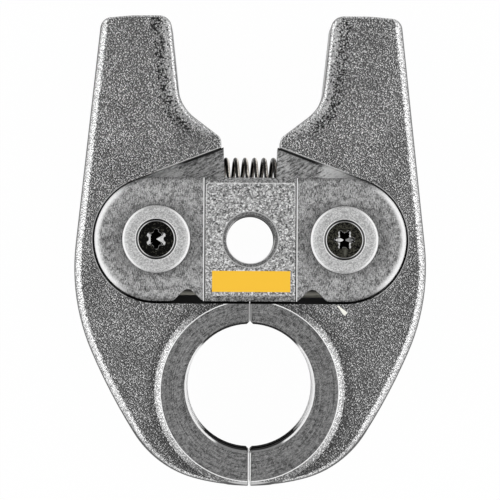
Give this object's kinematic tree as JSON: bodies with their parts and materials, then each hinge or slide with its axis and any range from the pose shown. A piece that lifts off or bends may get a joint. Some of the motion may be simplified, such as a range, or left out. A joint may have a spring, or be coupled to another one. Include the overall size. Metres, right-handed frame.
{
  "type": "press fitting tool jaw",
  "caption": "Press jaw with two forged halves that swing on pins between side straps, a spring that closes them and a round contour that presses pipe fittings.",
  "frame": {"origin": "centre of the drive pin bore, in the middle plane of the jaw", "axes": "+Z along the drive pin bore towards the front face, +Y from the pressing ring towards the legs, +X to the right seen from the front"},
  "size_m": [0.0936, 0.1248, 0.0282],
  "materials": {
    "forged_steel": "forged and blasted, with machined ring and recess",
    "strap_steel": "finely ground, with a coarse nickelled centre block",
    "pin_steel": "ground and hardened",
    "disc_steel": "fine turned satin",
    "black_screw": "black oxide",
    "spring_steel": "dark oiled wire"
  },
  "bodies": {
    "bridge": {"front_strap": "strap_steel", "back_strap": "strap_steel", "left_pivot_pin": "pin_steel", "right_pivot_pin": "pin_steel", "front_left_disc": "disc_steel", "front_right_disc": "disc_steel", "back_left_disc": "disc_steel", "back_right_disc": "disc_steel", "front_left_screw": "black_screw", "front_right_screw": "black_screw", "back_left_screw": "black_screw", "back_right_screw": "black_screw", "closing_spring": "spring_steel"},
    "left_half": {"left_jaw": "forged_steel"},
    "right_half": {"right_jaw": "forged_steel"}
  },
  "joints": [
    {"name": "left_jaw_pivot", "type": "hinge", "parent": "bridge", "child": "left_half", "pos_m": [-0.025, 0, 0], "axis": [0, 0, -1], "range_deg": [0, 18], "stiffness_Nm_per_rad": 1.7, "springref_deg": -34.38, "deforming": ["closing_spring"]},
    {"name": "right_jaw_pivot", "type": "hinge", "parent": "bridge", "child": "right_half", "pos_m": [0.025, 0, 0], "axis": [0, 0, 1], "range_deg": [0, 18], "stiffness_Nm_per_rad": 1.7, "springref_deg": -34.38, "deforming": ["closing_spring"]}
  ]
}
